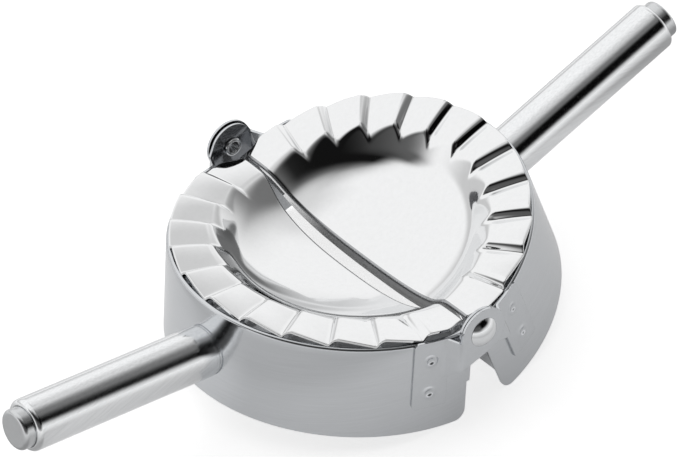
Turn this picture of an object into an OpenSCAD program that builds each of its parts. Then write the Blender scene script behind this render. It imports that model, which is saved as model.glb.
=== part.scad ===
// Folding empanada press: two pressed steel half bowls with meshing pleats,
// each on a half-ring cutter skirt, hinged by two semi-tubular rivets.
// Millimetres, +Z up. The origin is on the table, under the middle of the hinge line.
// The hinge axis runs along Y. The far half is on the +X side and the near half on -X.
// Every piece is drawn in the frame of one half: pivot at the origin, half on +X, flange level.

/* [Fold] */
// Angle between the two halves as the press stands, 0 is flat open
fold_angle = 24.6; // [10:0.1:60]
// Height left between the meshing faces when the press is folded shut
mesh_gap = 0.4; // [0.3:0.05:1]
// Half of the seam between the straight edges of the two halves
seam_half = 0.25; // [0.25:0.05:1]

/* [Pleated shell] */
// Radius of the flange at the valleys of the pleats
flange_r = 47.5; // [40:0.5:60]
// Number of pleats on each half
pleats = 12; // [8:2:16]
// Height of a pleat crest over its valley
pleat_h = 1.8; // [1:0.1:3]
// How far the rim draws in at a crest
rim_draw = 0.25; // [0:0.05:0.6]
// How far the corners of the rim beside the hinge are rounded back
corner_draw = 2; // [0:0.1:3]
// Width of a steep pleat wall at the rim
wall_w = 2.6; // [2:0.1:4]
// Angle by which each valley comes before its mark on the pitch circle
pleat_shift = 0.8; // [0:0.1:1.5]
// Width of the flat flange round the bowl
flange_w = 11.2; // [10:0.1:15]
// How far inside the bowl's edge the pleats start to rise
pleat_start_in = 1.5; // [0:0.1:3]
// How far outside the bowl's edge the pleats reach their full height
pleat_full_out = 3.2; // [2:0.1:4]
// Depth of the bowl
bowl_depth = 9.3; // [5:0.1:14]
// Thickness of the shell's sheet
shell_t = 0.7; // [0.5:0.1:1]
// Outside bend radius of the straight edge
edge_bend_r = 1; // [1:0.1:2]
// Depth of the turned-down lip along the straight edge
lip_h = 6.2; // [3:0.1:9]

/* [Skirt] */
// How far the skirt stands out past the valleys of the flange
skirt_out = 0.7; // [0.5:0.1:1.5]
// Height of the skirt under the valleys of the flange
skirt_h = 28.1; // [22:0.1:40]
// Thickness of the skirt's sheet
skirt_t = 0.8; // [0.6:0.1:1]
// Outside bend radius of the top shoulder
shoulder_r = 1.2; // [1:0.1:2]
// Width of the shoulder that carries the flange
shoulder_w = 3.6; // [2.5:0.1:5]
// Radius of the lower corner beside the inner ear
corner_r = 3; // [2:0.5:7]
// Distance from the hinge plane to the stop tab beside the inner ear
inner_tab_x = 0.8; // [0.8:0.05:0.85]
// Distance from the hinge plane to the skirt's end beside the inner ear
inner_end_x = 0.9; // [0.9:0.05:1.8]
// How far the stop tab beside the outer ear reaches past the hinge plane
outer_tab_over = 0.5; // [0:0.05:0.5]
// Distance from the hinge plane to the skirt's end beside the outer ear
outer_end_x = 0.45; // [0.4:0.05:1.2]
// Width of a stop tab
tab_w = 6.5; // [4:0.5:9]
// Height of the stop tab beside the inner ear
inner_tab_h = 19; // [12:0.5:21]
// Height of the stop tab beside the outer ear
outer_tab_h = 16; // [12:0.5:21]

/* [Hinge brackets] */
// Thickness of the bracket sheet
bracket_t = 0.7; // [0.5:0.1:0.7]
// Distance from the hinge axis to the bend between plate and ear
bracket_x = 8; // [8:0.1:10]
// Width of the plate that lies on the skirt
plate_w = 8.5; // [6:0.1:12]
// Height of the plate
plate_h = 20.3; // [16:0.1:21]
// Depth of the plate's top under the flange's valleys
plate_drop = 0.2; // [0:0.1:0.6]
// Height of the bend that carries the ear
web_h = 11.4; // [9:0.1:14]
// How far the bend rises from the plate's top to the notch beside the ear
notch_rise = 0.3; // [0:0.1:0.4]
// Radius of the round outer ears
outer_ear_r = 6.9; // [6:0.1:7.2]
// Radius of the round inner ears, which lie inside the bend of the outer brackets
inner_ear_r = 6.5; // [6:0.1:6.6]
// How far the bend leans toward the hinge axis between plate and ear
web_lean = 0.4; // [0:0.05:0.4]
// Corner radius of the plate
plate_corner_r = 1.2; // [0.5:0.1:2]
// Diameter of the weld dimples
dimple_d = 2.6; // [1.5:0.1:3.5]
// Depth of the weld dimples
dimple_depth = 0.35; // [0.2:0.05:0.5]
// Depth of the upper weld dimple under the plate's top
dimple_top = 5.8; // [4:0.1:8]
// Distance between the two weld dimples
dimple_pitch = 9.8; // [6:0.1:11]

/* [Rivets] */
// Diameter of the rivet shank
rivet_d = 4.2; // [3.6:0.1:5]
// Diameter of the domed head
head_d = 8.2; // [7:0.1:11]
// Height of the domed head
head_h = 1.9; // [1.5:0.1:2.6]
// Diameter of the hole in the hollow end
hollow_d = 3; // [2:0.1:3]
// Depth of the hole in the hollow end
hollow_depth = 2.6; // [1.5:0.1:3]
// Diameter of the rolled rim on the hollow end
roll_d = 1; // [0.8:0.1:1.4]
// Thickness of the friction washer between the ears
washer_t = 0.4; // [0.3:0.05:0.8]
// Outside diameter of the friction washer
washer_d = 10; // [8:0.5:12]
// Radial clearance of the rivet shank in the ears
rivet_fit = 0.05; // [0.02:0.01:0.1]
// Axial play between the pieces on a rivet
rivet_play = 0.06; // [0.03:0.01:0.15]
// Gap from the skirt to the inner ear
ear_gap = 2.8; // [2.1:0.1:4]

/* [Handles] */
// Diameter of the handle tube
tube_d = 14; // [10:0.5:20]
// Wall of the handle tube
tube_t = 1; // [0.8:0.1:1.5]
// Length of the tube from the skirt to its open end
tube_len = 56.3; // [40:0.1:90]
// Depth of the tube's axis under the valleys of the flange
tube_drop = 15.6; // [10:0.1:20]
// Radius of the tube's rolled-in rim
rim_r = 1.4; // [1.1:0.1:1.8]
// How far the tube is turned down where it meets the skirt
root_relief = 0.25; // [0.2:0.05:0.4]
// Width of that turned-down ring past the skirt
root_relief_w = 0.6; // [0.3:0.1:2]
// Diameter of the end cap where it shows
cap_d = 11; // [8:0.1:16]
// Length of the end cap that shows
cap_out = 3.1; // [2:0.1:6]
// Radius on the edge of the end cap
cap_edge_r = 1.1; // [0.5:0.1:1.8]
// Length of the end cap inside the tube
cap_in = 9; // [5:0.5:20]
// Length of the threaded plug inside the tube's root
plug_len = 14; // [10:0.5:24]
// Diameter of the handle screw
screw_d = 5; // [4:0.5:6]
// Length of the handle screw under its head
screw_len = 12; // [8:0.5:20]
// Diameter of the screw head
screw_head_d = 9; // [7:0.5:11]
// Height of the screw head
screw_head_h = 2.6; // [2:0.1:4]
// Diameter of the screw's washer
screw_washer_d = 11; // [9:0.5:14]
// Thickness of the screw's washer
screw_washer_t = 0.9; // [0.6:0.1:1.5]

/* [Hidden] */
$fn = 72;
// Overrun of every cut
over = 1;
// Gap left between sheets that are welded or seated on each other
seat_gap = 0.02;
// Gap left between round pieces that are seated on the skirt's outside
round_gap = 0.05;
// Radial clearance of pieces that are pushed or screwed together
push_fit = 0.05;

half_turn = 180;
right_angle = half_turn / 2;
raise = fold_angle / 2;

bowl_r = flange_r - flange_w;
pleat_start_r = bowl_r - pleat_start_in;
pleat_full_r = bowl_r + pleat_full_out;
skirt_r = flange_r + skirt_out;
tube_end_x = skirt_r + tube_len;

// Pleats: a straight valley, a steep wall, a crest, and a slow decline to the next valley.
// Folded shut, the declines of one half lie along those of the other.
pitch = half_turn / pleats;
wall_angle = 2 * asin(wall_w / 2 / flange_r);
mesh_share = 1 + abs(wall_angle - 2 * pleat_shift) / (pitch - wall_angle);
pivot_rise = (pleat_h * mesh_share + mesh_gap) / 2;
valley_z = -pivot_rise;
shoulder_z = valley_z - shell_t - seat_gap;
skirt_bottom_z = valley_z - skirt_h;
// The corner beside the outer ear is rounded so that both corners touch the table together
outer_corner_r = corner_r + (inner_end_x - outer_end_x) * sin(raise) / (sin(raise) + cos(raise) - 1);
pivot_z = corner_r - (inner_end_x + corner_r) * sin(raise) - (skirt_bottom_z + corner_r) * cos(raise);

// Stations round the half: the pleat that each belongs to, its share of the steep wall and
// its share of the pitch. A facet without a wall lies beside the hinge at both ends.
wall_shares = [-0.25, 0, 0.3, 0.7, 1, 1.3];
corner_angle = 0.5 * pitch;
stations = concat(
    [[0, 0, 0], [0, 0, 0.22], [0, 0, 0.5]],
    [for (k = [1:pleats - 1]) each concat(
        [for (share = wall_shares) [k, share, 0]],
        [[k, 0, 0.55]])],
    [[pleats - 1, 0, 0.82], [pleats, 0, 0]]);

// Radius up to which the lip reaches along the straight edge, short of the stop tabs
lip_end_r = skirt_r - tab_w - shell_t;

// Rings of the shell's mesh, close together where the sheet bends
bowl_ring_shares = [0.24, 0.46, 0.64, 0.78, 0.88, 0.955];
flange_ring_shares = [0, 0.25, 0.55, 1];
rings = concat(
    [for (share = bowl_ring_shares) share * bowl_r],
    [for (share = flange_ring_shares) bowl_r + share * (pleat_full_r - bowl_r)],
    [lip_end_r - shell_t, lip_end_r, flange_r]);

// How steeply the bowl's wall stands, and how widely it rounds into the flange
bowl_power = 4;
bowl_blend = 0.18;

function smooth(t) = let (u = max(0, min(1, t))) u * u * (3 - 2 * u);

// The pleats rise out of the bowl, and their walls widen as they rise
function pleat_share(r) = smooth((r - pleat_start_r) / (pleat_full_r - pleat_start_r));
wall_least_share = 0.4;
function wall_at(r) = wall_angle * (wall_least_share + (1 - wall_least_share) * pleat_share(r));

// Angle of a station at radius r. The end stations lie on the straight edge.
function station_angle(s, r) = let (
    shift = s[0] == 0 || s[0] == pleats ? 0 : pleat_shift)
    -right_angle + (s[0] + s[2]) * pitch - shift + s[1] * wall_at(r);

// Height of the pleats at an angle, from 0 in a valley to 1 on a crest.
// The facets beside the hinge end at half height.
function pleat_level(a, r) = let (
    wall = wall_at(r),
    from_start = a + right_angle + pleat_shift,
    u = from_start - pitch * floor(from_start / pitch),
    end = right_angle - pitch - pleat_shift + wall)
    a < pitch - right_angle - pleat_shift ? 0.5 * (pitch - pleat_shift - right_angle - a) / (pitch - pleat_shift)
    : a > end ? 1 - 0.5 * (a - end) / (right_angle - end)
    : u < wall ? sin(right_angle * u / wall)
    : (pitch - u) / (pitch - wall);

// Share of the bowl's depth at radius r
function bowl_share(r) = let (s = 1 - pow(r / bowl_r, bowl_power))
    s > bowl_blend ? s : s < -bowl_blend ? 0 : pow(s + bowl_blend, 2) / (4 * bowl_blend);

function shell_z(r, a) = valley_z + pleat_h * pleat_level(a, r) * pleat_share(r) - bowl_depth * bowl_share(r);

// A point of the shell's upper face. The half disc is drawn in by the bend at its straight edge.
bend_x = seam_half + edge_bend_r;
function shell_point(r, a) = let (
    corner = corner_draw * smooth((abs(a) - right_angle + corner_angle) / corner_angle),
    draw = rim_draw * pleat_level(a, r) + corner,
    rim = r - draw * smooth((r - pleat_full_r) / (flange_r - pleat_full_r)))
    [bend_x + rim * cos(a) * (1 - bend_x / flange_r), rim * sin(a), shell_z(r, a)];

// Depth of the lip under the straight edge: full along the bowl, a plain bend beside the hinge
function lip_depth(y) = abs(y) < lip_end_r - shell_t / 2 ? lip_h : edge_bend_r + seam_half;

// The straight edge from one end of the flange to the other, through the middle
edge_path = concat(
    [for (i = [len(rings) - 1:-1:0]) shell_point(rings[i], right_angle)],
    [shell_point(0, 0)],
    [for (r = rings) shell_point(r, -right_angle)]);
bend_steps = 3;
// Rows of the folded strip: round the outside of the bend, down, and back up inside it
edge_rows = concat(
    [for (s = [1:bend_steps]) let (a = right_angle * s / bend_steps)
        [for (p = edge_path) [bend_x - edge_bend_r * sin(a), p.y, p.z - edge_bend_r * (1 - cos(a))]]],
    [[for (p = edge_path) [seam_half, p.y, p.z - lip_depth(p.y)]]],
    [[for (p = edge_path) [seam_half + shell_t, p.y, p.z - lip_depth(p.y)]]],
    [for (s = [bend_steps:-1:1]) let (a = right_angle * s / bend_steps)
        [for (p = edge_path) [bend_x - (edge_bend_r - shell_t) * sin(a), p.y,
            p.z - edge_bend_r + (edge_bend_r - shell_t) * cos(a)]]]);

module shell_solid() {
    m = len(stations);
    n = len(rings);
    w = len(edge_path);
    top = [for (r = rings) for (s = stations) shell_point(r, station_angle(s, r))];
    under = [for (p = top) p - [0, 0, shell_t]];
    middle = [shell_point(0, 0), shell_point(0, 0) - [0, 0, shell_t]];
    strip = [for (row = edge_rows) each row];
    points = concat(top, under, middle, strip);
    centre_top = 2 * m * n;
    centre_under = centre_top + 1;
    strip_start = centre_top + 2;
    rows = len(edge_rows);
    // Index lists of the straight edge in the upper and the lower face
    path_top = concat([for (i = [n - 1:-1:0]) i * m + m - 1], [centre_top], [for (i = [0:n - 1]) i * m]);
    path_under = [for (k = path_top) k == centre_top ? centre_under : k + m * n];
    path_rows = concat([path_top],
        [for (i = [0:rows - 1]) [for (j = [0:w - 1]) strip_start + i * w + j]], [path_under]);
    fan = [for (j = [0:m - 2]) [centre_top, j + 1, j]];
    sheet = [for (i = [0:n - 2]) for (j = [0:m - 2]) let (k = i * m + j) each
        [[k, k + 1, k + m + 1], [k, k + m + 1, k + m]]];
    under_faces = [for (f = concat(fan, sheet)) [for (i = [2:-1:0]) f[i] == centre_top ? centre_under : f[i] + m * n]];
    rim = [for (j = [0:m - 2]) let (k = (n - 1) * m + j) each
        [[k, k + 1, k + 1 + m * n], [k, k + 1 + m * n, k + m * n]]];
    fold = [for (i = [0:rows]) for (j = [0:w - 2]) let (p = path_rows[i], q = path_rows[i + 1]) each
        [[p[j], p[j + 1], q[j + 1]], [p[j], q[j + 1], q[j]]]];
    ends = [
        [for (i = [0:rows + 1]) path_rows[i][0]],
        [for (i = [rows + 1:-1:0]) path_rows[i][w - 1]]];
    polyhedron(points, concat(fan, sheet, under_faces, rim, fold, ends), convexity = 10);
}

// Sheet ring of the skirt with its turned-in shoulder, in section
module skirt_section() {
    shoulder_c = [skirt_r - shoulder_r, shoulder_z - shoulder_r];
    translate([skirt_r - skirt_t, skirt_bottom_z])
        square([skirt_t, shoulder_c.y - skirt_bottom_z]);
    translate([skirt_r - shoulder_w, shoulder_z - skirt_t])
        square([shoulder_c.x - skirt_r + shoulder_w, skirt_t]);
    intersection() {
        translate(shoulder_c)
            difference() {
                circle(shoulder_r);
                circle(shoulder_r - skirt_t);
            }
        translate(shoulder_c)
            square(shoulder_r + over);
    }
}

// Side view of one end of the skirt: the tab above, a plain end below, a rounded lower corner
module skirt_end_side(tab_x, end_x, tab_h, end_corner_r) {
    tab_bottom_z = shoulder_z - tab_h;
    translate([tab_x, tab_bottom_z])
        square([skirt_r, tab_h + over]);
    difference() {
        translate([end_x, skirt_bottom_z])
            square([skirt_r, tab_bottom_z - skirt_bottom_z + over]);
        difference() {
            translate([end_x - over, skirt_bottom_z - over])
                square(end_corner_r + over);
            translate([end_x + end_corner_r, skirt_bottom_z + end_corner_r])
                circle(end_corner_r);
        }
    }
}

// One quarter of the skirt with its turned-in tab. The outer ear's quarter is on the +Y side.
module skirt_quarter(side, tab_x, end_x, tab_h, end_corner_r) {
    intersection() {
        rotate_extrude()
            skirt_section();
        translate([0, side > 0 ? skirt_r + over : 0, 0])
            rotate([right_angle, 0, 0])
            linear_extrude(skirt_r + over)
            skirt_end_side(tab_x, end_x, tab_h, end_corner_r);
    }
    intersection() {
        translate([tab_x, side * (skirt_r - tab_w / 2) - tab_w / 2, shoulder_z - tab_h])
            cube([skirt_t, tab_w, tab_h - skirt_t / 2]);
        translate([0, 0, skirt_bottom_z])
            cylinder(h = skirt_h + pivot_rise, r = skirt_r - skirt_t / 2);
    }
}

module skirt_solid() {
    difference() {
        union() {
            skirt_quarter(1, -outer_tab_over, outer_end_x, outer_tab_h, outer_corner_r);
            skirt_quarter(-1, inner_tab_x, inner_end_x, inner_tab_h, corner_r);
        }
        translate([skirt_r - skirt_t - over, 0, valley_z - tube_drop])
            rotate([0, right_angle, 0])
            cylinder(h = skirt_t + 2 * over, r = screw_d / 2 + push_fit);
    }
}

// Stack of the hinge along Y, from the skirt outwards
plate_r = skirt_r + round_gap;
inner_ear_y = skirt_r + ear_gap;
hinge_washer_y = inner_ear_y + bracket_t + rivet_play;
outer_ear_y = hinge_washer_y + washer_t + rivet_play;
head_y = outer_ear_y + bracket_t + rivet_play;
plate_top_z = valley_z - plate_drop;

// The bend between plate and ear ends lower at the plate than at the ear
ear_x = bracket_x - web_lean;
web_bottom_z = plate_top_z - web_h;
tail_rise_share = 0.25;
tail_z = web_bottom_z + tail_rise_share * web_h;
notch_z = plate_top_z + notch_rise;

// Side view of the plate on the skirt
module plate_side() {
    hull() {
        for (z = [plate_top_z - plate_corner_r, plate_top_z - plate_h + plate_corner_r])
            translate([bracket_x + plate_w - plate_corner_r, z])
                circle(plate_corner_r);
        translate([bracket_x - bracket_t, plate_top_z - plate_h])
            square([bracket_t, plate_h]);
    }
}

// Side view of the ear: the round, with tangents to the notch above and to the tail below
module ear_side(ear_r) {
    notch_reach = sqrt(pow(ear_x, 2) + pow(notch_z, 2));
    notch_touch = atan2(notch_z, ear_x) + acos(ear_r / notch_reach);
    tail_reach = sqrt(pow(ear_x, 2) + pow(tail_z, 2));
    tail_touch = atan2(tail_z, ear_x) - acos(ear_r / tail_reach);
    circle(ear_r);
    polygon([
        [0, 0],
        [ear_r * cos(tail_touch), ear_r * sin(tail_touch)],
        [ear_x, tail_z],
        [ear_x, notch_z],
        [ear_r * cos(notch_touch), ear_r * sin(notch_touch)]]);
}

// Bent strip that joins the plate to the ear, cut along its plan and along its side view
module web(ear_y) {
    plate_y = sqrt(pow(plate_r, 2) - pow(bracket_x, 2));
    intersection() {
        translate([0, 0, web_bottom_z - over])
            linear_extrude(web_h + 2 * over)
            polygon([
                [bracket_x - bracket_t, plate_y],
                [ear_x - bracket_t, ear_y + bracket_t],
                [ear_x, ear_y + bracket_t],
                [bracket_x, plate_y]]);
        rotate([right_angle, 0, right_angle])
            linear_extrude(bracket_x + over)
            polygon([
                [plate_y, web_bottom_z],
                [ear_y + bracket_t, tail_z],
                [ear_y + bracket_t, notch_z],
                [plate_y, plate_top_z]]);
    }
}

module bracket_solid(ear_y, ear_r) {
    dimple_x = bracket_x + plate_w / 2;
    dimple_y = sqrt(pow(plate_r + bracket_t, 2) - pow(dimple_x, 2));
    dimple_ball_r = (pow(dimple_d / 2, 2) + pow(dimple_depth, 2)) / (2 * dimple_depth);
    difference() {
        union() {
            intersection() {
                translate([0, 0, plate_top_z - plate_h - over])
                    difference() {
                        cylinder(h = plate_h + 2 * over, r = plate_r + bracket_t);
                        translate([0, 0, -over])
                            cylinder(h = plate_h + 4 * over, r = plate_r);
                    }
                translate([0, plate_r + bracket_t + over, 0])
                    rotate([right_angle, 0, 0])
                    linear_extrude(plate_r)
                    plate_side();
            }
            web(ear_y);
            translate([0, ear_y + bracket_t, 0])
                rotate([right_angle, 0, 0])
                linear_extrude(bracket_t)
                ear_side(ear_r);
        }
        translate([0, ear_y + bracket_t + over, 0])
            rotate([right_angle, 0, 0])
            cylinder(h = bracket_t + 2 * over, r = rivet_d / 2 + rivet_fit);
        for (drop = [dimple_top, dimple_top + dimple_pitch])
            rotate([0, 0, -atan2(dimple_x, dimple_y)])
                translate([0, plate_r + bracket_t - dimple_depth + dimple_ball_r, plate_top_z - drop])
                sphere(dimple_ball_r);
    }
}

// Semi-tubular rivet along Y: domed head outside, hollow rolled end inside
module rivet_solid() {
    dome_r = (pow(head_d / 2, 2) + pow(head_h, 2)) / (2 * head_h);
    roll_y = inner_ear_y - rivet_play - roll_d / 2;
    rotate([-right_angle, 0, 0]) {
        difference() {
            union() {
                translate([0, 0, roll_y])
                    cylinder(h = head_y - roll_y + over / 2, r = rivet_d / 2);
                translate([0, 0, roll_y])
                    rotate_extrude()
                    translate([rivet_d / 2, 0])
                    circle(roll_d / 2, $fn = 32);
            }
            translate([0, 0, roll_y - roll_d])
                cylinder(h = roll_d + hollow_depth, r = hollow_d / 2);
        }
        intersection() {
            translate([0, 0, head_y + head_h - dome_r])
                sphere(dome_r);
            translate([0, 0, head_y])
                cylinder(h = head_h + over, r = head_d / 2);
        }
    }
}

module hinge_washer_solid() {
    translate([0, hinge_washer_y + washer_t, 0])
        rotate([right_angle, 0, 0])
        difference() {
            cylinder(h = washer_t, r = washer_d / 2);
            translate([0, 0, -over])
                cylinder(h = washer_t + 2 * over, r = rivet_d / 2 + rivet_fit);
        }
}

// Carries a piece of the handle onto the tube's axis, turned to lie along +X
module on_handle_axis() {
    translate([0, 0, valley_z - tube_drop])
        rotate([0, right_angle, 0])
        children();
}

// Space inside and against the skirt, which the roots of the handle are cut to
module skirt_core(r) {
    translate([0, 0, skirt_bottom_z - over])
        cylinder(h = skirt_h + 2 * over, r = r);
}

tube_start_x = sqrt(pow(skirt_r, 2) - pow(tube_d / 2, 2)) - over;
tube_in_r = tube_d / 2 - tube_t;

module tube_solid() {
    difference() {
        on_handle_axis()
            rotate_extrude() {
                translate([tube_in_r, tube_start_x])
                    square([tube_t, tube_end_x - rim_r - tube_start_x]);
                intersection() {
                    translate([tube_d / 2 - rim_r, tube_end_x - rim_r])
                        difference() {
                            circle(rim_r);
                            circle(rim_r - tube_t);
                        }
                    translate([tube_d / 2 - rim_r, tube_end_x - rim_r])
                        square(rim_r + over);
                }
            }
        on_handle_axis()
            rotate_extrude()
            translate([tube_d / 2 - root_relief, tube_start_x - over])
            square([root_relief + over, skirt_r + root_relief_w - tube_start_x + over]);
        skirt_core(skirt_r + round_gap);
    }
}

module end_cap_solid() {
    neck_r = min(cap_d / 2, tube_d / 2 - rim_r - push_fit);
    body_r = tube_in_r - push_fit;
    shoulder_x = tube_end_x - rim_r - push_fit;
    face_x = tube_end_x + cap_out;
    on_handle_axis()
        rotate_extrude() {
            translate([0, shoulder_x - cap_in])
                square([body_r, cap_in]);
            translate([0, shoulder_x - over])
                square([neck_r, face_x - cap_edge_r - shoulder_x + over]);
            translate([0, face_x - cap_edge_r - over])
                square([neck_r - cap_edge_r, cap_edge_r + over]);
            translate([neck_r - cap_edge_r, face_x - cap_edge_r])
                intersection() {
                    circle(cap_edge_r);
                    square(cap_edge_r + over);
                }
        }
}

module root_plug_solid() {
    difference() {
        on_handle_axis()
            difference() {
                translate([0, 0, tube_start_x])
                    cylinder(h = plug_len + over, r = tube_in_r - push_fit);
                translate([0, 0, tube_start_x - over])
                    cylinder(h = plug_len, r = screw_d / 2 + push_fit);
            }
        skirt_core(skirt_r + round_gap);
    }
}

// The screw's washer bears on the inside of the skirt along two edges
screw_washer_x = sqrt(pow(skirt_r - skirt_t, 2) - pow(screw_washer_d / 2, 2)) - seat_gap;

module screw_washer_solid() {
    on_handle_axis()
        translate([0, 0, screw_washer_x - screw_washer_t])
        difference() {
            cylinder(h = screw_washer_t, r = screw_washer_d / 2);
            translate([0, 0, -over])
                cylinder(h = screw_washer_t + 2 * over, r = screw_d / 2 + push_fit);
        }
}

module handle_screw_solid() {
    under_head_x = screw_washer_x - screw_washer_t - seat_gap;
    slot_w = screw_head_d / 7;
    slot_depth = screw_head_h / 2;
    dome_r = (pow(screw_head_d / 2, 2) + pow(screw_head_h, 2)) / (2 * screw_head_h);
    on_handle_axis() {
        translate([0, 0, under_head_x - over / 2])
            cylinder(h = screw_len + over / 2, r = screw_d / 2);
        difference() {
            intersection() {
                translate([0, 0, under_head_x - screw_head_h + dome_r])
                    sphere(dome_r);
                translate([0, 0, under_head_x - screw_head_h - over])
                    cylinder(h = screw_head_h + over, r = screw_head_d / 2);
            }
            for (turn = [0, right_angle])
                rotate([0, 0, turn])
                    translate([-screw_head_d / 4, -slot_w / 2, under_head_x - screw_head_h - over])
                    cube([screw_head_d / 2, slot_w, slot_depth + over]);
        }
    }
}

// Places a piece of the far half, raised about the hinge axis
module far_half() {
    translate([0, 0, pivot_z])
        rotate([0, -raise, 0])
        children();
}

// The near half is the far half turned about the vertical
module near_half() {
    rotate([0, 0, half_turn])
        far_half()
        children();
}

module front_hinge() {
    translate([0, 0, pivot_z])
        rotate([0, 0, half_turn])
        children();
}

module back_hinge() {
    translate([0, 0, pivot_z])
        children();
}

module near_top_shell() color("gainsboro") near_half() shell_solid();
module near_skirt() color("silver") near_half() skirt_solid();
module near_outer_hinge_bracket() color("lightgray") near_half() bracket_solid(outer_ear_y, outer_ear_r);
module near_inner_hinge_bracket() color("lightgray") near_half() mirror([0, 1, 0]) bracket_solid(inner_ear_y, inner_ear_r);
module near_handle_tube() color("darkgray") near_half() tube_solid();
module near_handle_end_cap() color("silver") near_half() end_cap_solid();
module near_handle_root_plug() color("gray") near_half() root_plug_solid();
module near_handle_screw() color("dimgray") near_half() handle_screw_solid();
module near_screw_washer() color("silver") near_half() screw_washer_solid();
module far_top_shell() color("gainsboro") far_half() shell_solid();
module far_skirt() color("silver") far_half() skirt_solid();
module far_outer_hinge_bracket() color("lightgray") far_half() bracket_solid(outer_ear_y, outer_ear_r);
module far_inner_hinge_bracket() color("lightgray") far_half() mirror([0, 1, 0]) bracket_solid(inner_ear_y, inner_ear_r);
module far_handle_tube() color("darkgray") far_half() tube_solid();
module far_handle_end_cap() color("silver") far_half() end_cap_solid();
module far_handle_root_plug() color("gray") far_half() root_plug_solid();
module far_handle_screw() color("dimgray") far_half() handle_screw_solid();
module far_screw_washer() color("silver") far_half() screw_washer_solid();
module front_hinge_rivet() color("white") front_hinge() rivet_solid();
module back_hinge_rivet() color("white") back_hinge() rivet_solid();
module front_hinge_washer() color("gray") front_hinge() hinge_washer_solid();
module back_hinge_washer() color("gray") back_hinge() hinge_washer_solid();

near_top_shell();
near_skirt();
near_outer_hinge_bracket();
near_inner_hinge_bracket();
near_handle_tube();
near_handle_end_cap();
near_handle_root_plug();
near_handle_screw();
near_screw_washer();
far_top_shell();
far_skirt();
far_outer_hinge_bracket();
far_inner_hinge_bracket();
far_handle_tube();
far_handle_end_cap();
far_handle_root_plug();
far_handle_screw();
far_screw_washer();
front_hinge_rivet();
back_hinge_rivet();
front_hinge_washer();
back_hinge_washer();
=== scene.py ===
import math
from collections import Counter

import bpy
import numpy as np
from mathutils import Matrix, Vector


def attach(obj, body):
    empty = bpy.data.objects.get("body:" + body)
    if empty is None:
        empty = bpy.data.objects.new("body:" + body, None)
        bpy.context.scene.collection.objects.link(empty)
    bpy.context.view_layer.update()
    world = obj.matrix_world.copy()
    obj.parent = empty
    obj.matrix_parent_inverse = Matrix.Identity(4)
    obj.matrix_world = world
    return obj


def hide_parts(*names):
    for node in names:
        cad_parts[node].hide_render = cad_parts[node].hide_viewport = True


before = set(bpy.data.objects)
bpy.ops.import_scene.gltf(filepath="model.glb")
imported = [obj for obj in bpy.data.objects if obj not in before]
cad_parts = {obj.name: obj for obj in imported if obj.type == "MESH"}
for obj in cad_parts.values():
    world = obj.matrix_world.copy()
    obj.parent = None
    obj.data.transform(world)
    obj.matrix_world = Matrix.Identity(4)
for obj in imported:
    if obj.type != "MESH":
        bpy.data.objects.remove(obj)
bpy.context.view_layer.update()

MM = 0.001

# Sizes in millimetres and degrees, the same as the solids' unless a comment says otherwise
RAISE = 12.3
PIVOT_Z = 27.882
PLEATS = 12
PITCH = 180.0 / PLEATS
FLANGE_R = 47.5
PLEAT_H = 1.8
RIM_DRAW = 0.25
CORNER_DRAW = 2.0
CORNER_ANGLE = 0.5 * PITCH
WALL_ANGLE = 2 * math.degrees(math.asin(2.6 / 2 / FLANGE_R))
PLEAT_SHIFT = 0.8
PLEAT_FULL_R = 39.5
BOWL_DEPTH = 9.3
# The shells' soft forms. The bowl's edge lies further in than the solid's, because it is rounder.
BOWL_R = 34.9
# Slope of the bowl's wall by radius
BOWL_SLOPES = [
    (0, 0), (8, 0.04), (18, 0.18), (24, 0.34), (26, 0.42), (28, 0.52), (29.5, 0.7), (31, 0.9), (48, 0.9)]
EDGE_SOFT_CREST = 0.8
EDGE_SOFT_VALLEY = 1.8
PILLOW = 0.1
# Width of the creases in degrees, what they gain near the bowl, and over how many millimetres
CREASE_WIDTH = 0.3
CREASE_GAIN = 1.2
CREASE_FADE = 3
FLANGE_DROOP = 0.12
FLANGE_MID_R = 43.0
DROOP_FROM_R = BOWL_R - 4
# The rim's edge, rounded in two steps
RIM_SOFT = 0.05
RIM_ROUND = 0.14
# Rows of the shell's mesh: from radius, to radius, how many
SHELL_RINGS = [(3, 27, 28), (27.6, 38.6, 46), (39.2, FLANGE_R - RIM_ROUND, 18)]
# Samples along one pleat's wall, along its decline and along the first valley
WALL_STEPS = 12
DECLINE_STEPS = 16
FIRST_STEPS = 20
SHELL_T = 0.7
EDGE_BEND_R = 1.0
EDGE_BEND_STEPS = 8
LIP_ROUND = 0.12
SEAM_HALF = 0.25
BEND_X = SEAM_HALF + EDGE_BEND_R
LIP_H = 6.2
SKIRT_R = 48.2
SKIRT_T = 0.8
SKIRT_H = 28.1
SEAT_GAP = 0.02
# Tighter than the solid's
SHOULDER_R = 0.9
SHOULDER_W = 3.6
SHOULDER_MID_W = 2.2
CORNER_R = 3.0
SKIRT_COLUMNS = 181
SKIRT_ROWS = 14
TAB_W = 6.5
TAB_STEP = 0.02
# Stop tab, sheet's end and tab height on the inner ear's side and on the outer ear's side
SKIRT_ENDS = {-1: (0.8, 0.9, 19.0), 1: (-0.5, 0.45, 16.0)}
LIP_END_R = SKIRT_R - TAB_W - SHELL_T
MESH_SHARE = 1 + abs(WALL_ANGLE - 2 * PLEAT_SHIFT) / (PITCH - WALL_ANGLE)
PIVOT_RISE = (PLEAT_H * MESH_SHARE + 0.4) / 2
VALLEY_Z = -PIVOT_RISE
BRACKET_T = 0.7
BRACKET_X = 8.0
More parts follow.
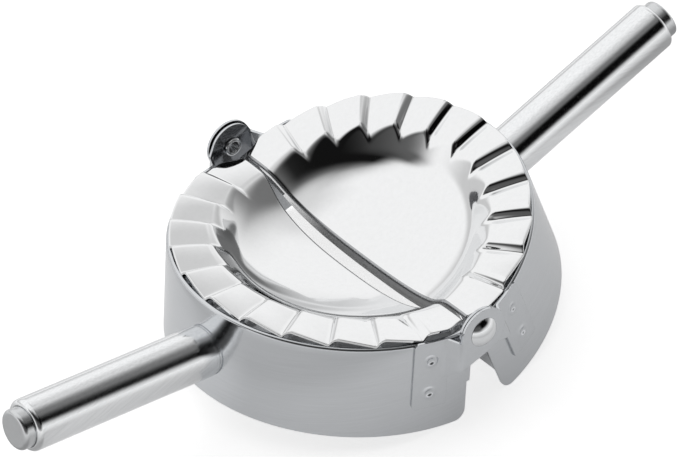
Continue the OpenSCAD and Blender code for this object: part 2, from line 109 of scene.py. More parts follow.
# Where the web leaves the ear. It leans more than the solid's.
EAR_X = 7.2
BRACKET_BEND_R = 1.1
BRACKET_BEND_STEPS = 10
FOOT_REACH = 1.5
PLATE_R = SKIRT_R + 0.05
PLATE_W = 8.5
PLATE_H = 20.3
PLATE_CORNER_R = 1.2
PLATE_COLUMNS = 34
PLATE_ROWS = 45
PLATE_TOP_Z = VALLEY_Z - 0.2
WEB_H = 11.4
NOTCH_Z = PLATE_TOP_Z + 0.3
TAIL_Z = PLATE_TOP_Z - 0.75 * WEB_H
EAR_HOLE_R = 2.15
INNER_EAR_Y = SKIRT_R + 2.8
OUTER_EAR_Y = INNER_EAR_Y + 1.22
# Face of the ear that is nearer to the skirt, radius of the ear
EARS = {"outer": (OUTER_EAR_Y, 6.9), "inner": (INNER_EAR_Y, 6.5)}
DIMPLE_TOP = 5.8
DIMPLE_PITCH = 9.8
# Weld mark: radius, width and height of its ring, radius and depth of its pit
MARK = (1.4, 0.45, 0.22, 0.8, 0.25)
WEB_ROWS = 57
SHARP_ANGLE = 40
# Keeps equal places from rounding apart when meshes are joined
WELD_SHIFT = 0.0000137

# Studio: brightness as a mirror of this reflectance shows it, by direction in degrees
MIRROR = 0.88
STUDIO_WHITE = 0.95
FLOOR_GREY = 0.72
FLOOR_CAMERA_GLOW = 0.74
FLOOR_NEAR_GLOW = 0.33
FLOOR_GRAZING_GLOW = 0.55
# Distances in metres from the middle over which the floor's painted glow fades, and its share under the
# press, where a painted shadow dims it
FLOOR_NEAR = (0.085, 0.125)
FLOOR_SHADOW_UNDER = (0.03, 0.046)
FLOOR_SHADOW_UNDER_SHARE = 0.12
FLOOR_GRAZING = (0.35, 0.95)
FLOOR_HALF = 6.0
FLOOR_Z = -0.0002
# azimuth, elevation, half width, half height, soft edge across, soft edge up, brightness
STUDIO_PANELS = [
    (0, 90, 180, 12, 0, 20, 0.84),
    (-90, 42, 95, 33, 60, 30, 0.44),
    (-130, 25, 38, 20, 30, 20, 0.33),
    (175, 31, 22, 11, 18, 14, 0.36),
    (-139, 47, 52, 13, 26, 20, 0.07),
    (-68, 32, 28, 17, 20, 14, 0.02),
    (35, 52, 22, 12, 26, 18, 0.80),
    (95, 4, 45, 9, 30, 12, 0.78)]


def to_world(points, half):
    """Points of the half frame in millimetres, placed in the world in metres."""
    p = np.asarray(points, float)
    c, s = math.cos(math.radians(RAISE)), math.sin(math.radians(RAISE))
    x = p[..., 0] * c - p[..., 2] * s
    z = p[..., 0] * s + p[..., 2] * c + PIVOT_Z
    y = p[..., 1]
    sign = 1.0 if half == "far" else -1.0
    return np.stack([sign * x, sign * y, z], -1) * MM


def make_piece(name, verts, faces, body, material, nodes, sharp=None):
    mesh = bpy.data.meshes.new(name)
    mesh.from_pydata([tuple(v) for v in verts], [], [tuple(f) for f in faces])
    mesh.validate()
    mesh.update()
    obj = bpy.data.objects.new(name, mesh)
    bpy.context.scene.collection.objects.link(obj)
    mesh.polygons.foreach_set("use_smooth", [True] * len(mesh.polygons))
    if sharp:
        mesh.set_sharp_from_angle(angle=math.radians(sharp))
    mesh.materials.append(material)
    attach(obj, body)
    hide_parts(*nodes)
    return obj


# Materials

def new_material(name):
    mat = bpy.data.materials.new(name)
    mat.use_nodes = True
    nodes = mat.node_tree.nodes
    bsdf = nodes.get("Principled BSDF")
    return mat, nodes, mat.node_tree.links, bsdf


def math_node(nodes, links, operation, a, b=None, c=None):
    node = nodes.new("ShaderNodeMath")
    node.operation = operation
    for socket, value in zip(node.inputs, (a, b, c)):
        if value is None:
            continue
        if isinstance(value, (int, float)):
            socket.default_value = value
        else:
            links.new(value, socket)
    return node.outputs[0]


def map_range(nodes, links, value, low, high, to_low, to_high, smooth=False):
    ramp = nodes.new("ShaderNodeMapRange")
    if smooth:
        ramp.interpolation_type = "SMOOTHSTEP"
    for socket, number in (("From Min", low), ("From Max", high), ("To Min", to_low), ("To Max", to_high)):
        ramp.inputs[socket].default_value = number
    links.new(value, ramp.inputs["Value"])
    return ramp.outputs["Result"]


def noise(nodes, links, vector, scale, detail, rough=0.5):
    node = nodes.new("ShaderNodeTexNoise")
    node.inputs["Scale"].default_value = scale
    node.inputs["Detail"].default_value = detail
    node.inputs["Roughness"].default_value = rough
    links.new(vector, node.inputs["Vector"])
    return node.outputs["Fac"]


def steel(name, base, rough, streak_axes, streak_depth, wave_depth, edge=0.0, tone_var=0.04, turn=0.0):
    """Stainless steel. Brushing runs along the axes that streak_axes scales least, and changes
    roughness, tone and relief. Clouds of handling change roughness, and broad waves bend the
    mirror image a little."""
    mat, nodes, links, bsdf = new_material(name)
    bsdf.inputs["Metallic"].default_value = 1.0
    coord = nodes.new("ShaderNodeTexCoord")
    mapping = nodes.new("ShaderNodeMapping")
    mapping.inputs["Rotation"].default_value = (0, turn, 0)
    links.new(coord.outputs["Object"], mapping.inputs["Vector"])
    stretch = nodes.new("ShaderNodeVectorMath")
    stretch.operation = "MULTIPLY"
    links.new(mapping.outputs["Vector"], stretch.inputs[0])
    stretch.inputs[1].default_value = streak_axes
    streaks = noise(nodes, links, stretch.outputs[0], 1.0, 5.0, 0.6)
    clouds = noise(nodes, links, mapping.outputs["Vector"], 45.0, 3.0)
    # Roughness
    grain = map_range(nodes, links, streaks, 0.3, 0.7, -1.0, 1.0)
    haze = map_range(nodes, links, clouds, 0.35, 0.7, -1.0, 1.0)
    spread = math_node(nodes, links, "MULTIPLY_ADD", grain, rough * 0.22, rough)
    links.new(math_node(nodes, links, "MULTIPLY_ADD", haze, rough * 0.15, spread), bsdf.inputs["Roughness"])
    # Tone
    mix = nodes.new("ShaderNodeMix")
    mix.data_type = "RGBA"
    mix.inputs[6].default_value = (*[c * (1 - tone_var) for c in base], 1)
    mix.inputs[7].default_value = (*[min(c * (1 + tone_var), 1) for c in base], 1)
    links.new(map_range(nodes, links, streaks, 0.3, 0.7, 0.0, 1.0), mix.inputs[0])
    links.new(mix.outputs[2], bsdf.inputs["Base Color"])
    # Relief, on edges that look rounded where an edge radius is given
    normal = None
    if edge:
        bevel = nodes.new("ShaderNodeBevel")
        bevel.samples = 6
        bevel.inputs["Radius"].default_value = edge * MM
        normal = bevel.outputs["Normal"]
    waves = noise(nodes, links, mapping.outputs["Vector"], 38.0, 1.0)
    for height, depth in ((waves, wave_depth), (streaks, streak_depth)):
        bump = nodes.new("ShaderNodeBump")
        bump.inputs["Distance"].default_value = depth
        links.new(height, bump.inputs["Height"])
        if normal:
            links.new(normal, bump.inputs["Normal"])
        normal = bump.outputs["Normal"]
    links.new(normal, bsdf.inputs["Normal"])
    return mat


RAISE_TURN = math.radians(RAISE)
polished = steel(
    "polished_shell_steel", (0.86, 0.865, 0.87), 0.055, (700, 700, 700), 0.4e-6, 1.2e-4, 0, 0.015)
skirt_steel = steel("skirt_steel", (0.645, 0.66, 0.68), 0.13, (60, 60, 2600), 0.8e-6, 1.5e-4, 0.15, 0.03)
bracket_steel = steel("bracket_steel", (0.635, 0.65, 0.67), 0.16, (900, 900, 900), 0.8e-6, 0.8e-4, 0.15, 0.02)
TUBE_FINISH = ((0.86, 0.87, 0.88), 0.13, (40, 2400, 2400), 1.6e-6, 0.4e-4, 0.2, 0.06)
near_tube_steel = steel("near_handle_steel", *TUBE_FINISH, RAISE_TURN)
far_tube_steel = steel("far_handle_steel", *TUBE_FINISH, -RAISE_TURN)
cap_steel = steel("handle_end_steel", (0.66, 0.67, 0.68), 0.22, (900, 900, 900), 1.2e-6, 0.4e-4, 0.25, 0.03)
# Fold steel: rougher than the polished face, with a darker base colour that is painted shade along the bend
painted_shade_fold_steel = steel("painted_shade_fold_steel", (0.42, 0.425, 0.435), 0.2, (60, 60, 1500), 0.8e-6, 0.8e-4, 0, 0.05)
# Bracket steel with a much darker base colour: painted shade for the faces toward the skirt
shaded_bracket_steel = steel(
    "painted_shade_bracket_steel", (0.30, 0.305, 0.315), 0.16, (900, 900, 900), 0.8e-6, 0.8e-4, 0.15, 0.03)
rivet_steel = steel("rivet_steel", (0.84, 0.85, 0.86), 0.07, (900, 900, 900), 0.8e-6, 0.6e-4, 0.1, 0.02)
inner_steel = steel("inner_steel", (0.56, 0.565, 0.57), 0.3, (500, 500, 500), 1.5e-6, 0.4e-4, 0.1, 0.04)


# Pleated shells

def smooth_step(t):
    u = np.clip(t, 0, 1)
    return u * u * (3 - 2 * u)


def pleat_level(a):
    """Height of the pleats at an angle, from 0 in a valley to 1 on a crest."""
    from_start = a + 90 + PLEAT_SHIFT
    u = from_start - PITCH * np.floor(from_start / PITCH)
    end = 90 - PITCH - PLEAT_SHIFT + WALL_ANGLE
    level = np.where(u < WALL_ANGLE, np.sin(np.pi / 2 * u / WALL_ANGLE), (PITCH - u) / (PITCH - WALL_ANGLE))
    level = np.where(a > end, 1 - 0.5 * (a - end) / (90 - end), level)
    first = PITCH - 90 - PLEAT_SHIFT
    return np.where(a < first, 0.5 * (first - a) / (PITCH - PLEAT_SHIFT), level)


def soft_level(a, r):
    """The pleats' level with soft creases and slightly bulging declines, as pressed sheet has
    them. The creases grow softer toward the bowl."""
    width = CREASE_WIDTH + CREASE_GAIN * smooth_step((BOWL_R + CREASE_FADE - r) / CREASE_FADE)
    total = 0
    for k, w in ((-2, 1), (-1, 2), (0, 3), (1, 2), (2, 1)):
        total = total + w * pleat_level(np.clip(a + k * width / 2, -90, 90))
    level = total / 9
    return level + PILLOW * 4 * level * (1 - level)


def bowl_profile():
    """Height of the bowl's face over its edge by radius, summed from its slopes."""
    r = np.linspace(0, 48, 961)
    slope = np.interp(r, *zip(*BOWL_SLOPES))
    slope = np.convolve(np.pad(slope, 20, "edge"), np.ones(41) / 41, "valid")
    height = np.concatenate([[0], np.cumsum((slope[1:] + slope[:-1]) / 2)]) * (r[1] - r[0])
    edge = np.interp(BOWL_R, r, height)
    return r, (height - edge) * BOWL_DEPTH / edge


PROFILE_R, PROFILE_Z = bowl_profile()


def smooth_min(a, b, k):
    h = np.maximum(k - np.abs(a - b), 0) / k
    return np.minimum(a, b) - h * h * k / 4


def shell_points(r, a):
    """Upper face of the shell for arrays of radius and angle in the half frame. The pleats run
    inward until they meet the bowl's wall, the crests sooner than the valleys."""
    level = soft_level(a, r)
    corner = CORNER_DRAW * smooth_step((np.abs(a) - 90 + CORNER_ANGLE) / CORNER_ANGLE)
    draw = RIM_DRAW * level + corner
    rim = r - draw * smooth_step((r - PLEAT_FULL_R) / (FLANGE_R - PLEAT_FULL_R))
    ar = np.radians(a)
    droop = FLANGE_DROOP * ((r - FLANGE_MID_R) / (FLANGE_R - FLANGE_MID_R)) ** 2
    flange = VALLEY_Z + PLEAT_H * level - np.where(r > DROOP_FROM_R, droop, 0)
    bowl = VALLEY_Z + np.interp(r, PROFILE_R, PROFILE_Z)
    z = smooth_min(flange, bowl, EDGE_SOFT_VALLEY + (EDGE_SOFT_CREST - EDGE_SOFT_VALLEY) * level)
    return np.stack([BEND_X + rim * np.cos(ar) * (1 - BEND_X / FLANGE_R), rim * np.sin(ar), z], -1)


def shell_angles():
    """Sample angles of a ring, dense in the steep walls."""
    out = list(np.linspace(-90, PITCH - 90 - PLEAT_SHIFT, FIRST_STEPS)[:-1])
    for k in range(1, PLEATS):
        start = -90 + k * PITCH - PLEAT_SHIFT
        end = start + PITCH if k < PLEATS - 1 else 90
        out += list(np.linspace(start, start + WALL_ANGLE, WALL_STEPS)[:-1])
        out += list(np.linspace(start + WALL_ANGLE, end, DECLINE_STEPS)[:-1])
    return np.array(out + [90.0])


def build_shell(half, name):
    rings = np.concatenate([np.linspace(*one) for one in SHELL_RINGS])
    angles = shell_angles()
    top = np.array([shell_points(np.full(1, r), angles) for r in rings])
    m = top.shape[1]
    outer = shell_points(np.full(1, FLANGE_R), angles)
    # The rim's rounded edge, then the underside back to the middle
    rim_depths = (RIM_SOFT, RIM_ROUND, SHELL_T - RIM_ROUND, SHELL_T - RIM_SOFT)
    rim_rows = [outer - [0, 0, depth] for depth in rim_depths]
    under = (top - [0, 0, SHELL_T])[::-1]
    rows = np.concatenate([top, rim_rows, under])
    n = len(rows)
    verts = [v for row in rows for v in row]
    centre = shell_points(np.zeros(1), np.zeros(1))[0]
    top_centre = len(verts)
    verts.append(centre)
    verts.append(centre - [0, 0, SHELL_T])
    faces = []
    for i in range(n - 1):
        for j in range(m - 1):
            k = i * m + j
            faces.append((k, k + m, k + m + 1, k + 1))
    for j in range(m - 1):
        faces.append((top_centre, j, j + 1))
        k = (n - 1) * m + j
        faces.append((top_centre + 1, k + 1, k))
    # The folded straight edge: the path runs from one corner through the middle to the other
    n_top = len(rings)

    def edge_rows(column):
        upper = [i * m + column for i in range(n_top)]
        lower = [(n - 1 - i) * m + column for i in range(n_top)]
        return upper, lower

    up_a, low_a = edge_rows(m - 1)
    up_b, low_b = edge_rows(0)
    path_top = up_a[::-1] + [top_centre] + up_b
    path_low = low_a[::-1] + [top_centre + 1] + low_b
    path = np.array([verts[k] for k in path_top])
    depth = np.where(np.abs(path[:, 1]) < LIP_END_R - SHELL_T / 2, LIP_H, EDGE_BEND_R + SEAM_HALF)
    strip = []
    steps = EDGE_BEND_STEPS
    for s in range(1, steps + 1):
        t = math.radians(90 * s / steps)
        strip.append(np.stack([
            BEND_X - EDGE_BEND_R * math.sin(t) + 0 * path[:, 0], path[:, 1],
            path[:, 2] - EDGE_BEND_R * (1 - math.cos(t))], -1))
    for dx, dz in ((0, LIP_ROUND), (LIP_ROUND, 0), (SHELL_T - LIP_ROUND, 0), (SHELL_T, LIP_ROUND)):
        strip.append(np.stack([SEAM_HALF + dx + 0 * path[:, 0], path[:, 1], path[:, 2] - depth + dz], -1))
    for s in range(steps, 0, -1):
        t = math.radians(90 * s / steps)
        r_in = EDGE_BEND_R - SHELL_T
        strip.append(np.stack([
            BEND_X - r_in * math.sin(t) + 0 * path[:, 0], path[:, 1],
            path[:, 2] - EDGE_BEND_R + r_in * math.cos(t)], -1))
    index_rows = [path_top]
    for row in strip:
        index_rows.append(list(range(len(verts), len(verts) + len(row))))
        verts.extend(row)
    index_rows.append(path_low)
    fold_start = len(faces)
    for i in range(len(index_rows) - 1):
        p, q = index_rows[i], index_rows[i + 1]
        for j in range(len(p) - 1):
            faces.append((p[j], q[j], q[j + 1], p[j + 1]))
    # Closed ends of the strip at the corners
    column_a = [row[0] for row in index_rows]
    column_b = [row[-1] for row in index_rows]
    faces.append(tuple(column_a[::-1]) + tuple((n_top + i) * m + m - 1 for i in range(3, -1, -1))[::-1])
    faces.append(tuple(column_b) + tuple((n_top + i) * m for i in range(3, -1, -1)))
    world = to_world(np.array(verts), half)
    obj = make_piece(name, world, faces, half + "_half", polished, [half + "_top_shell"])
    # The fold's bend is rougher than the polished face, and its darker base colour is painted shade
    obj.data.materials.append(painted_shade_fold_steel)
    tones = np.zeros(len(obj.data.polygons), int)
    row = len(path) - 1
    tones[fold_start + row:fold_start + steps * row] = 1
    obj.data.polygons.foreach_set("material_index", tones)
    return obj


build_shell("near", "near_pleated_shell")
build_shell("far", "far_pleated_shell")


# Skirts and brackets: closed sheets between two grids of points

def closed_sheet(face, back, ring=False):
    """Vertices and faces of the solid between two grids of points. A ring closes on itself
    along its columns."""
    face, back = np.asarray(face, float), np.asarray(back, float)
    rows, cols = face.shape[:2]
    verts = np.concatenate([face.reshape(-1, 3), back.reshape(-1, 3)])
    half = rows * cols
    faces = []
    wrap = cols if ring else cols - 1
    for i in range(rows - 1):
        for j in range(wrap):
            a, b = i * cols + j, i * cols + (j + 1) % cols
            faces.append((a, b, b + cols, a + cols))
            faces.append((half + a, half + a + cols, half + b + cols, half + b))
    for j in range(wrap):
        k = (j + 1) % cols
        faces.append((j, half + j, half + k, k))
        a, b = (rows - 1) * cols + j, (rows - 1) * cols + k
        faces.append((a, b, half + b, half + a))
    if not ring:
        for i in range(rows - 1):
            a = i * cols
            faces.append((a, a + cols, half + a + cols, half + a))
            a += cols - 1
            faces.append((a, half + a, half + a + cols, a + cols))
    a, b, c, d = (verts[k] for k in np.array(faces).T)
    if np.sum(a * (np.cross(b, c) + np.cross(c, d))) < 0:
        faces = [f[::-1] for f in faces]
    return verts, faces


def join(parts):
    """One mesh of several closed ones. Where two share a wall, both its faces go."""
    verts, faces = [], []
    for v, f in parts:
        base = sum(len(x) for x in verts)
        verts.append(v)
        faces += [tuple(base + k for k in one) for one in f]
    verts = np.concatenate(verts)
    places = np.round(verts + WELD_SHIFT, 4)
    _, first, index = np.unique(places, axis=0, return_index=True, return_inverse=True)
    index = index.ravel()
    faces = [tuple(int(index[k]) for k in one) for one in faces]
    times = Counter(tuple(sorted(one)) for one in faces)
    return verts[first], [one for one in faces if times[tuple(sorted(one))] == 1]


def build_skirt(half, name):
    top_z = VALLEY_Z - SHELL_T - SEAT_GAP
    bottom_z = VALLEY_Z - SKIRT_H
    # Section from the lower edge up the outside, round the shoulder and inward
    rises = [1 - math.cos(math.radians(10 * k)) for k in range(10)]
    section = [(SKIRT_R, bottom_z + CORNER_R * rise) for rise in rises]
    tab_levels = [top_z - SKIRT_ENDS[side][2] for side in (-1, 1)]
    levels = set(np.linspace(bottom_z + CORNER_R + 1, top_z - SHOULDER_R, SKIRT_ROWS))
    for z in tab_levels:
        levels |= {z - TAB_STEP, z}
    section += [(SKIRT_R, z) for z in sorted(levels)]
    turns = [math.radians(10 * k) for k in range(1, 10)]
    shoulder = [(1 - math.cos(t), 1 - math.sin(t)) for t in turns]
    section += [(SKIRT_R - SHOULDER_R * dr, top_z - SHOULDER_R * dz) for dr, dz in shoulder]
    normals = [(1, 0)] * (len(section) - len(turns)) + [(math.cos(t), math.sin(t)) for t in turns]
    section += [(SKIRT_R - SHOULDER_MID_W, top_z), (SKIRT_R - SHOULDER_W, top_z)]
    normals += [(0, 1), (0, 1)]

    def end_x(side, z):
        tab_x, plain_x, tab_h = SKIRT_ENDS[side]
        if z >= top_z - tab_h:
            return tab_x
        low = max(bottom_z + CORNER_R - z, 0)
        return plain_x + CORNER_R - math.sqrt(max(CORNER_R ** 2 - low ** 2, 0))

    share = np.linspace(0, 1, SKIRT_COLUMNS)
    outer, inner = [], []
    for (r, z), (nr, nz) in zip(section, normals):
        for grid, radius, height in ((outer, r, z), (inner, r - nr * SKIRT_T, z - nz * SKIRT_T)):
            ends = [math.acos(end_x(side, z) / radius) for side in (-1, 1)]
            a = -ends[0] + (ends[0] + ends[1]) * share
            grid.append(np.stack([radius * np.cos(a), radius * np.sin(a), height + 0 * a], -1))
    parts = [closed_sheet(outer, inner)]
    for side, (tab_x, plain_x, tab_h) in SKIRT_ENDS.items():
        reach = SKIRT_R - SKIRT_T / 2
        y = [SKIRT_R - TAB_W, math.sqrt(reach ** 2 - max(tab_x, tab_x + SKIRT_T) ** 2)]
        rows = [[(tab_x, side * v, z) for v in y] for z in (top_z - tab_h, top_z - SKIRT_T / 2)]
        parts.append(closed_sheet(rows, np.array(rows) + [SKIRT_T, 0, 0]))
    verts, faces = join(parts)
    return make_piece(
        name, to_world(verts, half), faces, half + "_half", skirt_steel, [half + "_skirt"], sharp=SHARP_ANGLE)


build_skirt("near", "near_rolled_skirt")
build_skirt("far", "far_rolled_skirt")


def rounded_path(points, radius, steps):
    """Line through the points with rounded corners: places and headings."""
    points = [np.array(p, float) for p in points]
    places, headings = [points[0]], [(points[1] - points[0]) / np.linalg.norm(points[1] - points[0])]
    for before, corner, after in zip(points, points[1:], points[2:]):
        u = (corner - before) / np.linalg.norm(corner - before)
        v = (after - corner) / np.linalg.norm(after - corner)
        turn = math.acos(np.clip(np.dot(u, v), -1, 1))
        side = 1 if u[0] * v[1] - u[1] * v[0] > 0 else -1
        start = corner - u * radius * math.tan(turn / 2)
        centre = start + side * radius * np.array([-u[1], u[0]])
        for k in range(steps + 1):
            t = side * turn * k / steps
            c, w = math.cos(t), math.sin(t)
            arm = start - centre
            places.append(centre + [arm[0] * c - arm[1] * w, arm[0] * w + arm[1] * c])
            headings.append(np.array([u[0] * c - u[1] * w, u[0] * w + u[1] * c]))
    return np.array(places), np.array(headings)


def build_bracket(half, kind, name):
    ear_y, ear_r = EARS[kind]
    t = BRACKET_T / 2
    # Ear: rings from the rivet's hole to the outline. The outline runs along the bend first.
    start_x = EAR_X - t - BRACKET_BEND_R
    notch_angle = math.atan2(NOTCH_Z, EAR_X)
    notch_touch = notch_angle + math.acos(ear_r / math.hypot(EAR_X, NOTCH_Z))
    tail_touch = math.atan2(TAIL_Z, EAR_X) - math.acos(ear_r / math.hypot(EAR_X, TAIL_Z))
    tail_start_z = (ear_r - start_x * math.cos(tail_touch)) / math.sin(tail_touch)
    edge_z = np.linspace(tail_start_z, NOTCH_Z, WEB_ROWS)
    bend = np.arctan2(edge_z, start_x)
    tangent = np.linspace(notch_angle, notch_touch, 8)
    round_part = np.linspace(notch_touch, tail_touch + 2 * math.pi, 60)[1:-1]
    tail = np.linspace(tail_touch, bend[0], 8)[:-1] + 2 * math.pi
    angles = np.concatenate([bend, tangent, round_part, tail])
    reach = np.concatenate([
        start_x / np.cos(bend), ear_r / np.cos(tangent - notch_touch),
        np.full(len(round_part), ear_r), ear_r / np.cos(tail - tail_touch - 2 * math.pi)])
    outline = np.stack([reach * np.cos(angles), reach * np.sin(angles)], -1)
    hole = EAR_HOLE_R * np.stack([np.cos(angles), np.sin(angles)], -1)
    grid = [hole + (outline - hole) * k for k in (0, 0.3, 0.6, 0.85, 0.97, 1)]
    levels = (ear_y + BRACKET_T, ear_y)
    ear = [[[(p[0], y, p[1]) for p in ring] for ring in grid] for y in levels]
    parts = [closed_sheet(ear[0], ear[1], True)]
    # Web: bends inward from the ear, then out along the skirt
    plate_mid = PLATE_R + t
    foot_x = BRACKET_X + FOOT_REACH
    foot = np.array([foot_x, math.sqrt(plate_mid ** 2 - foot_x ** 2)])
    corner_x = BRACKET_X + t
    corner = np.array([corner_x, foot[1] + (foot_x - corner_x) * foot_x / foot[1]])
    line = [(start_x, ear_y + t), (EAR_X - t, ear_y + t), corner, foot]
    places, headings = rounded_path(line, BRACKET_BEND_R, BRACKET_BEND_STEPS)
    places = np.concatenate([places, [foot]])
    headings = np.concatenate([headings, [np.array([foot[1], -foot[0]]) / plate_mid]])
    run = np.concatenate([[0], np.cumsum(np.linalg.norm(np.diff(places, axis=0), axis=1))])
    run = run / run[-1]
    face, back = [], []
    for place, heading, u in zip(places, headings, run):
        out = np.array([-heading[1], heading[0]])
        low_z = np.interp(u, [0, 0.3, 0.7], [tail_start_z, TAIL_Z, PLATE_TOP_Z - WEB_H])
        high_z = NOTCH_Z + (PLATE_TOP_Z - NOTCH_Z) * u
        z = low_z + (high_z - low_z) * (edge_z - tail_start_z) / (NOTCH_Z - tail_start_z)
        for grid, side in ((face, 1), (back, -1)):
            p = place + out * side * t
            grid.append(np.stack([p[0] + 0 * z, p[1] + 0 * z, z], -1))
    parts.append(closed_sheet(face, back))
    # Plate on the skirt with its two pressed weld marks
    end_x = BRACKET_X + PLATE_W
    corner_r = PLATE_CORNER_R
    xs = np.concatenate([
        np.linspace(foot_x, end_x - corner_r, PLATE_COLUMNS),
        end_x - corner_r * (1 - np.sin(np.radians([25, 50, 70, 90])))])
    web_share = (PLATE_H - WEB_H) / PLATE_H
    share = np.concatenate([np.linspace(0, web_share, PLATE_ROWS)[:-1], np.linspace(web_share, 1, WEB_ROWS)])
    ring_r, ring_w, ring_h, pit_r, pit_h = MARK
    face, back = [], []
    for x in xs:
        drop = corner_r - math.sqrt(max(corner_r ** 2 - max(x - end_x + corner_r, 0) ** 2, 0))
        low_z, high_z = PLATE_TOP_Z - PLATE_H + drop, PLATE_TOP_Z - drop
        z = low_z + (high_z - low_z) * share
        lift = 0 * z
        for k in (0, 1):
            middle_z = PLATE_TOP_Z - DIMPLE_TOP - k * DIMPLE_PITCH
            away = np.hypot(x - BRACKET_X - PLATE_W / 2, z - middle_z)
            lift = lift + ring_h * np.exp(-((away - ring_r) / ring_w) ** 2)
            lift = lift - pit_h * np.exp(-(away / pit_r) ** 4)
        a = math.asin(x / plate_mid)
        for grid, radius in ((face, PLATE_R + BRACKET_T + lift), (back, PLATE_R + 0 * lift)):
            grid.append(np.stack([radius * math.sin(a), radius * math.cos(a), z], -1))
    parts.append(closed_sheet(face, back))
    # The rest of the plate, beneath the web
    lower = np.linspace(BRACKET_X - BRACKET_T, foot_x, 6)
    levels = np.linspace(PLATE_TOP_Z - PLATE_H, PLATE_TOP_Z - WEB_H, PLATE_ROWS)
    for grid, radius in ((face, PLATE_R + BRACKET_T), (back, PLATE_R)):
        grid[:] = [
            [(radius * x / plate_mid, radius * math.sqrt(1 - (x / plate_mid) ** 2), z) for z in levels]
            for x in lower]
    parts.append(closed_sheet(face, back))
    verts, faces = join(parts)
    if kind == "inner":
        verts = verts * [1, -1, 1]
        faces = [f[::-1] for f in faces]
    obj = make_piece(
        name, to_world(verts, half), faces, half + "_half", bracket_steel,
        [f"{half}_{kind}_hinge_bracket"], sharp=SHARP_ANGLE)
    # The faces toward the skirt get a darker base colour: painted shade for the gap between bracket and skirt
    obj.data.materials.append(shaded_bracket_steel)
    for face in obj.data.polygons:
        if face.normal.y * face.center.y < 0 and abs(face.normal.y) > 0.5:
            face.material_index = 1
    return obj


for half in ("near", "far"):
    for kind in ("outer", "inner"):
        build_bracket(half, kind, f"{half}_{kind}_bent_bracket")

NODE_MATERIALS = {
    "near_handle_tube": near_tube_steel, "far_handle_tube": far_tube_steel, "handle_end_cap": cap_steel,
    "handle_root_plug": inner_steel, "handle_screw": inner_steel, "screw_washer": inner_steel,
    "hinge_rivet": rivet_steel, "hinge_washer": inner_steel}
for node_name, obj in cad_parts.items():
    for key, mat in NODE_MATERIALS.items():
        if node_name.endswith(key):
            obj.data.materials.clear()
            obj.data.materials.append(mat)


# Camera

AZ, EL, ROLL = -32.6809, 41.608, -9.5013
FOCAL_PX = 5013.74
DISTANCE, SIDE, RISE = 27.3033 * FLANGE_R, -0.0712 * FLANGE_R, 0.0350 * FLANGE_R
az, el, roll = map(math.radians, (AZ, EL, ROLL))
back = Vector((math.sin(az) * math.cos(el), -math.cos(az) * math.cos(el), math.sin(el)))
right = Vector((math.cos(az), math.sin(az), 0))
up = back.cross(right)
cam_right = right * math.cos(roll) + up * math.sin(roll)
cam_up = -right * math.sin(roll) + up * math.cos(roll)
place = (back * DISTANCE + cam_right * SIDE + cam_up * RISE + Vector((0, 0, PIVOT_Z))) * MM
cam_data = bpy.data.cameras.new("camera")
cam_data.sensor_width = 36.0
cam_data.lens = FOCAL_PX * cam_data.sensor_width / 679
cam_data.clip_end = 20
camera = bpy.data.objects.new("camera", cam_data)
camera.matrix_world = Matrix((
    (cam_right.x, cam_up.x, back.x, place.x), (cam_right.y, cam_up.y, back.y, place.y),
    (cam_right.z, cam_up.z, back.z, place.z), (0, 0, 0, 1)))
bpy.context.scene.collection.objects.link(camera)
bpy.context.scene.camera = camera

# Floor: pale. The camera sees it white, with the object's shadow.
# Mirrors see painted light on it: a painted shadow under the press, a painted pool of light near it that
# makes it look evenly lit, and a painted sheen that whitens it at a grazing angle.

floor_mat, nodes, links, bsdf = new_material("floor_white")
bsdf.inputs["Base Color"].default_value = (FLOOR_GREY, FLOOR_GREY, FLOOR_GREY, 1)
bsdf.inputs["Roughness"].default_value = 0.9
bsdf.inputs["Emission Color"].default_value = (1, 1, 1, 1)
path = nodes.new("ShaderNodeLightPath")
geometry = nodes.new("ShaderNodeNewGeometry")
reach = nodes.new("ShaderNodeVectorMath")
reach.operation = "LENGTH"
links.new(geometry.outputs["Position"], reach.inputs[0])
distance = reach.outputs["Value"]
# Painted pool of light for mirrors near the press, dimmed under it by a painted shadow
near_glow = map_range(nodes, links, distance, *FLOOR_NEAR, FLOOR_NEAR_GLOW, 0.0, True)
under = map_range(nodes, links, distance, *FLOOR_SHADOW_UNDER, FLOOR_SHADOW_UNDER_SHARE, 1.0, True)
near_glow = math_node(nodes, links, "MULTIPLY", near_glow, under)
weight = nodes.new("ShaderNodeLayerWeight")
weight.inputs["Blend"].default_value = 0.5
# Painted sheen: mirrors see the floor whiter at a grazing angle
grazing = map_range(nodes, links, weight.outputs["Facing"], *FLOOR_GRAZING, 0.0, FLOOR_GRAZING_GLOW)

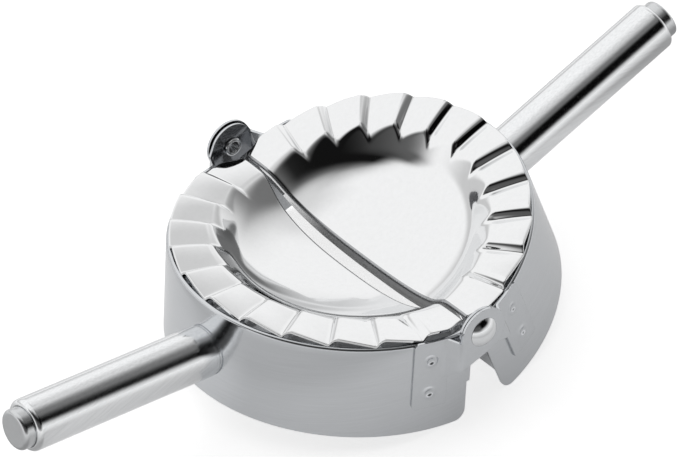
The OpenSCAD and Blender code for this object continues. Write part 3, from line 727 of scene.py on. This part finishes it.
seen = math_node(nodes, links, "MULTIPLY", path.outputs["Is Camera Ray"], FLOOR_CAMERA_GLOW)
shiny = math_node(nodes, links, "MAXIMUM", path.outputs["Is Glossy Ray"], path.outputs["Is Transmission Ray"])
shiny = math_node(nodes, links, "MULTIPLY", shiny, math_node(nodes, links, "MAXIMUM", near_glow, grazing))
links.new(math_node(nodes, links, "ADD", seen, shiny), bsdf.inputs["Emission Strength"])
mesh = bpy.data.meshes.new("floor")
corners = [(FLOOR_HALF * x, FLOOR_HALF * y, FLOOR_Z) for x, y in ((-1, -1), (1, -1), (1, 1), (-1, 1))]
mesh.from_pydata(corners, [], [(0, 1, 2, 3)])
floor = bpy.data.objects.new("floor", mesh)
mesh.materials.append(floor_mat)
bpy.context.scene.collection.objects.link(floor)


# World: a white studio, darker on the camera's side. Each panel of grey has a direction, a
# half width and half height in degrees, a soft edge and the brightness that it shows.

def linear(v):
    return v / 12.92 if v <= 0.04045 else ((v + 0.055) / 1.055) ** 2.4


scene = bpy.context.scene
scene.view_settings.view_transform = "Standard"
world = bpy.data.worlds.new("studio")
scene.world = world
world.use_nodes = True
wn, wl = world.node_tree.nodes, world.node_tree.links
background = wn["Background"]
direction = wn.new("ShaderNodeTexCoord")
split = wn.new("ShaderNodeSeparateXYZ")
wl.new(direction.outputs["Generated"], split.inputs[0])
azimuth = math_node(wn, wl, "ARCTAN2", split.outputs["Y"], split.outputs["X"])
elevation = math_node(wn, wl, "ARCSINE", split.outputs["Z"])


def soft_range(value, half, soft):
    low, high = math.radians(max(half - soft / 2, 0)), math.radians(half + soft / 2)
    return map_range(wn, wl, value, low, high, 1.0, 0.0, True)


def panel(level, az, el, half_az, half_el, soft_az, soft_el, brightness):
    """Mixes one soft-edged panel into the studio's brightness."""
    mask = None
    if half_az < 180:
        turned = math_node(wn, wl, "SUBTRACT", azimuth, math.radians(az))
        turned = math_node(wn, wl, "WRAP", turned, math.pi, -math.pi)
        mask = soft_range(math_node(wn, wl, "ABSOLUTE", turned), half_az, soft_az)
    raised = math_node(wn, wl, "ABSOLUTE", math_node(wn, wl, "SUBTRACT", elevation, math.radians(el)))
    rows = soft_range(raised, half_el, soft_el)
    mask = rows if mask is None else math_node(wn, wl, "MULTIPLY", mask, rows)
    mix = wn.new("ShaderNodeMix")
    mix.data_type = "FLOAT"
    wl.new(mask, mix.inputs[0])
    if isinstance(level, float):
        mix.inputs[2].default_value = level
    else:
        wl.new(level, mix.inputs[2])
    mix.inputs[3].default_value = linear(brightness) / MIRROR
    return mix.outputs[0]


level = linear(STUDIO_WHITE) / MIRROR
for values in STUDIO_PANELS:
    level = panel(level, *values)
wl.new(level, background.inputs["Strength"])
background.inputs["Color"].default_value = (1, 1, 1, 1)
